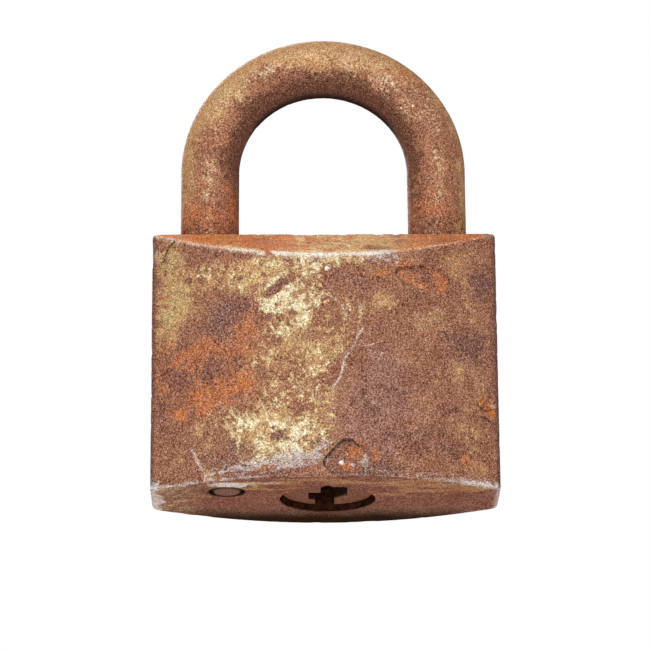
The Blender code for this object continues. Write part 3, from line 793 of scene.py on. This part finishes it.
    def finish(self, colour, bump, distance, roughness=None):
        """Links the colour, the bump and the roughness, and gives back the finished material."""
        node = self.tree.nodes.new("ShaderNodeBump")
        node.inputs["Distance"].default_value = distance
        node.inputs["Strength"].default_value = 0.8
        self.link(bump, node.inputs["Height"])
        self.link(node.outputs["Normal"], self.shader.inputs["Normal"])
        self.link(colour, self.shader.inputs["Base Color"])
        if roughness is not None:
            self.link(roughness, self.shader.inputs["Roughness"])
        return self.material


deep_brown, light_brown, dark_rust = (0.265, 0.107, 0.062), (0.35, 0.160, 0.088), (0.180, 0.075, 0.052)
mauve_rust, orange_rust, fiery_rust = (0.29, 0.145, 0.112), (0.47, 0.150, 0.056), (0.62, 0.215, 0.05)
ochre_coat, green_tint = (0.56, 0.34, 0.145), (0.46, 0.38, 0.17)
cream_rim, cream_coat, coat_pit = (0.62, 0.45, 0.21), (0.80, 0.69, 0.46), (0.22, 0.105, 0.075)
crater_brown, crater_orange, rift_and_shadow_black = (0.245, 0.108, 0.075), (0.50, 0.17, 0.05), (0.070, 0.030, 0.021)
grey_speck, brown_dot, chip_white = (0.42, 0.31, 0.28), (0.13, 0.066, 0.052), (0.78, 0.72, 0.65)
steel_smear, steel_scratch, steel_edge = (0.52, 0.46, 0.43), (0.56, 0.47, 0.40), (0.78, 0.74, 0.70)
# Tints of painted shade for the underside and painted light for the roof
painted_underside_shade, painted_roof_light = (0.79, 0.60, 0.57), (1.22, 1.15, 1.0)
# Colours of painted shade at the rear of the underside, in bores and in recesses
painted_shade_black, bore_shade_black, bore_shade_brown = (0.011, 0.0045, 0.002), (0.020, 0.007, 0.003), (0.058, 0.022, 0.011)


def rusted_iron():
    """Brown rust with purple, orange and yellow flecks, worn to pale metal on edges; fine grain all over."""
    r = Recipe("rusted_body_iron")
    grain = r.noise(4000, 2.0, 0.75)
    grit = r.noise(1100, 6.0, 0.8)
    flake = r.noise(560, 8.0, 0.85, 0.3)
    clump = r.noise(300, 7.0, 0.8, 0.5)
    patch = r.noise(210, 6.0, 0.72)
    mottle = r.mean(patch, grit)
    colour = r.blend(r.span(patch, 0.38, 0.62), deep_brown, light_brown)
    # The dark cover is dark rust, with painted shade along the front's side corners
    colour = r.coats(colour, [
        ("mauve", mottle, 2.0, 0.20, 0.90, 0.75, mauve_rust),
        ("ochre", mottle, 3.4, 0.25, 0.85, 0.85, ochre_coat),
        ("fire", mottle, 3.6, 0.30, 0.80, 0.85, orange_rust),
        ("fire", r.noise(700, 6.0, 0.7), 3.2, 0.80, 1.05, 0.62, fiery_rust),
        ("green", mottle, 3.0, 0.30, 0.90, 0.50, green_tint),
        ("dark_rust_and_shade", r.mean(grit, clump), 4.4, 0.44, 0.60, 0.85, dark_rust),
    ])
    specks = r.span(r.noise(1900, 4.0, 0.8), 0.55, 0.64)
    colour = r.blend(r.times(specks, r.span(r.read("dark_rust_and_shade"), 0.30, 0.60, 0.0, 0.55)), colour, grey_speck)
    rough = r.mean(flake, clump, grit)
    # The pale cover is the cream coat, with painted light on the front of the underside
    colour = r.coats(colour, [
        ("pale_and_highlight", rough, 7.5, 0.30, 0.50, 0.75, cream_rim),
        ("pale_and_highlight", rough, 8.5, 0.56, 0.90, 1.0, cream_coat),
    ])
    pits = r.times(r.span(r.noise(950, 3.0, 0.7, 0.5), 0.56, 0.62), r.span(r.read("pale_and_highlight"), 0.2, 0.5))
    colour = r.blend(r.times(pits, 0.85), colour, coat_pit)
    broken = r.times(r.math("SUBTRACT", grit, 0.5), 2.2)
    sunk = r.span(r.plus(r.read("sunk"), r.times(broken, 0.08)), 0.48, 0.56, 0.0, 0.75)
    colour = r.blend(sunk, colour, crater_brown)
    colour = r.blend(r.times(sunk, r.flecks("fire", mottle, 3.2, 0.55, 0.95)), colour, crater_orange)
    streak = r.noise(1600, 5.0, 0.8, 0.0, (0.6, 1.0, 1.2))
    colour = r.blend(r.flecks("steel", streak, 4.2, 0.40, 0.84, 0.8), colour, steel_smear)
    # Dark crater rims, heavier on their upper sides as painted shadow, and dark cracks
    rift_and_rim_shadow = r.span(r.plus(r.read("rift_and_rim_shadow"), r.times(broken, 0.16)), 0.30, 0.12, 0.0, 0.9)
    colour = r.blend(r.times(rift_and_rim_shadow, r.span(clump, 0.38, 0.52, 0.4, 1.0)), colour, rift_and_shadow_black)
    scraped = r.span(r.plus(r.read("line"), r.times(broken, 0.24)), 0.24, 0.07)
    colour = r.blend(r.times(scraped, r.span(clump, 0.42, 0.54, 0.15, 0.9)), colour, steel_scratch)
    rubbed = r.span(r.plus(r.read("edge"), broken), 1.05, 0.22)
    colour = r.blend(r.times(rubbed, r.read("reach")), colour, steel_edge)
    colour = r.blend(r.flecks("patch", grit, 2.6, 0.40, 0.62), colour, chip_white)
    dots = r.span(r.noise(1300, 4.0, 0.75, 0.3), 0.60, 0.67)
    colour = r.blend(r.times(dots, 0.65), colour, brown_dot)
    # Painted shade darkens and reddens the underside; painted light brightens the roof
    colour = r.blend(r.read("under"), colour, painted_underside_shade, "MULTIPLY")
    colour = r.blend(r.read("roof"), colour, painted_roof_light, "MULTIPLY")
    colour = r.speckle(colour, grain, 0.68)
    # Painted shade: near black at the rear of the underside, in bores and round the feed groove
    colour = r.blend(r.read("painted_shade"), colour, painted_shade_black)
    # Painted shade on the walls inside the core recess and the feed ring groove
    hole_shade = r.math("MAXIMUM", r.below(core, recess_r + 0.33), r.below(feed, ring_r + 0.20))
    colour = r.blend(hole_shade, colour, r.blend(r.span(grit, 0.42, 0.60), bore_shade_black, bore_shade_brown))
    dull = r.math("MAXIMUM", r.read("painted_shade"), hole_shade)
    r.link(r.span(dull, 0.0, 1.0, 0.15, 0.0), r.shader.inputs["Specular IOR Level"])
    height = r.plus(r.times(grit, 0.6), r.times(grain, 0.4))
    return r.finish(colour, height, 0.00025, r.span(grit, 0.3, 0.7, 0.70, 0.92))


body.data.materials.append(rusted_iron())
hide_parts("lock_body")
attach(body, "case")


# The shackle: a round steel rod bent to a U, rusted tan and brown, smooth to the hand. Its short toe has a
# notch for the latch. Its long heel has a ring groove and a flat that slide past the stop pin.
leg_foot, leg_tall = leg_low[2], leg_high[2]
bow_z = leg_tall - leg_x - stock_r
toe_end = 34.0
groove_low, groove_high = 23.3, 27.0
groove_share = 0.75
flat_top = stop[2] + 1.8
ring_step = 0.33


def rod():
    """Closed rod on two parameters: a circle carried up one leg, round a half circle and down the other."""
    b = np.linspace(0, 2 * np.pi, 88, endpoint=False)

    def ring(side, z, share):
        """One circle of a leg, left or right, at a height, with a share of the stock's radius."""
        out = leg_x - share * stock_r * np.cos(b)
        return np.c_[side * out, share * stock_r * np.sin(b), np.full(len(b), z)]

    heel = [(leg_foot, 0.8), (leg_foot + 0.6, 1.0), (groove_low, 1.0), (groove_low + 0.01, groove_share),
            (groove_high, groove_share), (groove_high + 0.01, 1.0), (flat_top, 1.0)]
    heel += [(z, 1.0) for z in np.arange(flat_top + 1.2, bow_z, ring_step)]
    toe = [(z, 1.0) for z in np.arange(bow_z - ring_step, body_h - 4, -ring_step)]
    toe += [(toe_end + 1.6, 1.0), (toe_end, 0.62)]
    far = leg_x - stock_r * np.cos(b)
    turns = np.linspace(np.pi, 0, 190)
    bow = [np.c_[far * np.cos(a), stock_r * np.sin(b), bow_z + far * np.sin(a)] for a in turns]
    grid = np.array([ring(-1, z, f) for z, f in heel] + bow + [ring(1, z, f) for z, f in toe])
    p = grid.reshape(-1, 3)
    wave = 0.10 * cloud(p, 9.0, 2, 4.4)
    pits = 0.07 * step(cloud(p, 1.8, 3, 6.6), 0.60, 0.80)
    depth = (wave + pits + 0.03 * cloud(p, 0.7, 2, 2.5)) * step(p[:, 2], body_h - 2, body_h)
    outward = grid - grid.mean(axis=1, keepdims=True)
    outward /= np.linalg.norm(outward, axis=2)[:, :, None]
    return grid - outward * depth.reshape(grid.shape[:2])[:, :, None]


bolt_low = box_of("latch_bolt")[0][2]
flat_x = -leg_x + 0.75 * stock_r
toe_side = leg_x - stock_r
rod_tools = [
    slab("stop_flat", (flat_x, -7, groove_low + 0.2), (-leg_x + stock_r + 1, 7, flat_top)),
    slab("latch_notch", (toe_side - 1, -7, bolt_low - 0.3), (toe_side + 2.2, 7, bolt_low + 3.5)),
]
shackle = drilled("shackle_rod", rod(), rod_tools)

cream_patches = [
    (-9.8, 77.7, 4.0, 1.4, 38, 0.62), (-3.0, 81.0, 3.4, 1.6, 0, 0.5), (4.8, 80.0, 2.0, 2.4, 0, 0.62),
    (-20.4, 58.5, 1.8, 3.4, 0, 0.46), (-20.8, 54.0, 0.8, 1.6, 0, 0.55), (11.0, 75.4, 3.0, 2.0, -40, 0.52),
    (-14.5, 73.5, 2.4, 1.4, 45, 0.5), (20.4, 60.0, 1.2, 3.5, 0, 0.5), (20.6, 54.5, 1.0, 2.2, 0, 0.45),
    (-20.0, 50.4, 1.4, 1.2, 0, 0.2), (15.5, 70.0, 2.0, 3.0, 30, 0.36),
]
orange_patches = [
    (-20.0, 49.5, 6.0, 4.2, 0, 1.1), (-16.0, 53.5, 2.2, 4.0, 0, 0.9), (-23.5, 53.0, 2.0, 3.0, 0, 0.6),
    (14.5, 77.5, 5.0, 3.5, 0, 0.5), (20.0, 50.5, 6.0, 6.0, 0, 0.62),
]
green_patches = [
    (-23.4, 57.0, 1.6, 6.5, 0, 0.5), (-18.0, 73.0, 2.0, 2.6, 0, 0.6), (3.5, 79.0, 2.5, 1.5, 0, 0.4),
]


def shackle_paint(mesh):
    """Tan along the outer left of the bow, orange at the left foot; dark rust mixed with painted shade on the
    inner side and at the feet, a painted highlight along the bow and legs, and painted shade on the inner
    rear of the bow.

    Across is -1 on the inner side of the rod, 0 along its middle and 1 on its outer side.
    """
    p = points(mesh)
    x, y, z = p.T
    fine = cloud(p, 1.3, 3, 2.2) - 0.5
    mid = cloud(p, 4.5, 3, 6.1) - 0.5
    ragged = 0.8 * mid + 0.5 * fine
    across = (np.hypot(x, np.maximum(0, z - bow_z)) - leg_x) / stock_r
    front = step(-y, -1.0, 2.0)
    # Painted highlight: a pale band along the upper bow and down the middle of the legs
    bow_highlight = np.exp(-((across - 0.28 - 0.5 * mid) / 0.34) ** 2) * step(z, 60.0, 70.0)
    leg_highlight = 0.55 * np.exp(-((np.abs(x) - leg_x + 0.3) / 1.8) ** 2) * step(z, 68.0, 58.0)
    painted_highlight = 0.30 * np.maximum(bow_highlight, leg_highlight)
    pale_and_highlight = front * np.maximum(density(x, z, cream_patches, ragged), painted_highlight)
    tan = np.max([
        step(across + 0.9 * mid + 0.4 * fine, -0.8, 0.9) * step(z, 56.0, 70.0) * step(x, 18.0, -4.0),
        step(across + 1.2 * mid, 0.1, 0.9) * 0.75,
        step(z + 3.0 * mid, 71.0, 83.0) * 0.95,
        step(-x + mid, 20.6, 24.4) * 0.9,
        step(mid + 0.3 * fine, 0.1, 0.4) * 0.6,
    ], axis=0)
    fire = np.maximum(density(x, z, orange_patches, ragged), 0.5 * step(mid - 0.3 * fine, 0.15, 0.4))
    # Dark rust, with painted shade on the inner side of the rod and at the feet
    dark_rust_and_shade = np.max([
        step(-across + 0.6 * mid + 0.3 * fine, 0.05, 0.85) * (0.45 + 0.55 * step(z, 50.0, 66.0)),
        0.6 * step(-mid + 0.6 * fine, 0.15, 0.5),
        0.55 * step(z + 3.0 * mid, 55.0, 48.0),
    ], axis=0)
    paint(mesh, {
        "pale_and_highlight": pale_and_highlight, "tan": tan, "fire": fire, "dark_rust_and_shade": dark_rust_and_shade,
        "green": density(x, z, green_patches, ragged),
        # Painted shade on the inner rear of the bow
        "painted_shade": step(-across * step(z, 58.0, 70.0) + 0.35 * y / stock_r, 0.72, 1.02) * 0.9,
        "inner": step(z + 0.8 * fine, body_h - 0.2, body_h - 1.2),
    })


shackle_paint(shackle.data)


def rusted_steel():
    """Even brown rust with tan and orange cover and cream flecks, finely gritty, smoother than the body."""
    r = Recipe("rusted_shackle_steel")
    grain = r.noise(4000, 2.0, 0.75)
    grit = r.noise(1300, 6.0, 0.8)
    patch = r.noise(240, 6.0, 0.72)
    fleck = r.noise(1700, 5.0, 0.75)
    colour = r.blend(r.span(patch, 0.38, 0.62), (0.27, 0.104, 0.055), (0.37, 0.157, 0.080))
    # The dark cover is dark rust with painted shade; the pale cover is cream flecks with a painted highlight
    colour = r.coats(colour, [
        ("tan", patch, 2.0, 0.30, 0.85, 0.85, (0.54, 0.30, 0.13)),
        ("fire", patch, 2.6, 0.35, 0.75, 0.85, (0.42, 0.135, 0.05)),
        ("green", patch, 2.4, 0.35, 0.85, 0.50, (0.42, 0.34, 0.15)),
        ("dark_rust_and_shade", grit, 2.8, 0.38, 0.72, 0.85, (0.128, 0.044, 0.022)),
        ("pale_and_highlight", fleck, 4.0, 0.30, 0.56, 0.55, (0.58, 0.38, 0.19)),
        ("pale_and_highlight", fleck, 4.2, 0.56, 0.95, 0.75, (0.68, 0.54, 0.37)),
    ])
    dots = r.span(r.noise(1500, 4.0, 0.75, 0.3), 0.61, 0.67)
    colour = r.blend(r.times(dots, 0.6), colour, (0.12, 0.06, 0.045))
    sheltered = r.blend(r.span(grit, 0.40, 0.60), (0.17, 0.125, 0.095), (0.085, 0.050, 0.034))
    colour = r.blend(r.read("inner"), colour, sheltered)
    colour = r.speckle(colour, grain, 0.68)
    # Painted shade: near black on the inner rear of the bow
    colour = r.blend(r.read("painted_shade"), colour, (0.020, 0.008, 0.005))
    r.link(r.span(r.read("painted_shade"), 0.0, 1.0, 0.25, 0.0), r.shader.inputs["Specular IOR Level"])
    height = r.plus(r.times(grit, 0.6), r.times(grain, 0.4))
    return r.finish(colour, height, 0.00016, r.span(grit, 0.3, 0.7, 0.52, 0.78))


shackle.data.materials.append(rusted_steel())
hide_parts("shackle")
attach(shackle, "shackle")


# The turning core, the round plug of the feed hole and the small pins: turned iron and steel, set in bores
# of the body and rusted over with it. Inside, brass pins, springs, the cam and the latch bolt stay clean of
# rust. All of them keep the shape that the frame gives them.
def browned(name, colour, rim, per_m=900, rough=0.8, metal=0.0, node=None):
    """Two browns mixed by noise, and fine grit; for a plug, also painted shade on its walls above its face
    and a painted shade ring at its edge.
    """
    r = Recipe(name, rough, metal)
    r.shader.inputs["Specular IOR Level"].default_value = 0.1 if node else 0.4
    grit = r.noise(per_m, 6.0, 0.8)
    tint = r.blend(r.span(grit, 0.38, 0.62), colour, rim)
    tint = r.speckle(tint, r.noise(4000, 2.0, 0.75), 0.35)
    if node:
        low, high = box_of(node)
        radius = (high[0] - low[0]) / 2
        # Painted shade: dark walls above the plug's face, inside its bore, and a dark ring at its edge
        walls = r.blend(r.span(grit, 0.42, 0.60), (0.014, 0.005, 0.003), (0.050, 0.020, 0.011))
        tint = r.blend(r.span(r.height(), (low[2] + 0.06) * MM, (low[2] + 0.35) * MM), tint, walls)
        edge = r.span(r.away(middle_of(node)), (radius - 0.45) * MM, radius * MM, 0.0, 0.6)
        tint = r.blend(edge, tint, (0.05, 0.022, 0.012))
    return r.finish(tint, grit, 0.00012)


plug_iron = browned("rusted_plug_iron", (0.29, 0.108, 0.062), (0.14, 0.050, 0.030), 1500, node="key_plug")
feed_iron = browned("rusted_feed_plug", (0.26, 0.120, 0.078), (0.17, 0.076, 0.050), 1500, node="feed_plug")
pin_steel = browned("browned_pin_steel", (0.33, 0.16, 0.10), (0.20, 0.10, 0.07))
bolt_steel = browned("dull_bolt_steel", (0.34, 0.31, 0.28), (0.22, 0.19, 0.16), 600, 0.55, 0.7)
spring_steel = browned("dull_spring_steel", (0.36, 0.34, 0.32), (0.24, 0.21, 0.18), 1200, 0.5, 0.8)
core_brass = browned("tarnished_core_brass", (0.45, 0.32, 0.12), (0.28, 0.19, 0.08), 800, 0.5, 0.8)
# One finish for each node, or for each row of like nodes that ends in numbers
finishes = {
    "key_plug": plug_iron, "feed_plug": feed_iron, "stop_pin": pin_steel, "plug_clip_pin": pin_steel,
    "back_plug": pin_steel, "tail_cam": bolt_steel, "latch_bolt": bolt_steel, "shackle_spring": spring_steel,
    "pin_spring": spring_steel, "key_pin": core_brass, "driver_pin": core_brass,
}
for node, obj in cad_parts.items():
    if node not in ("lock_body", "shackle"):
        obj.data.materials.clear()
        obj.data.materials.append(finishes[node.rstrip("_12345")])
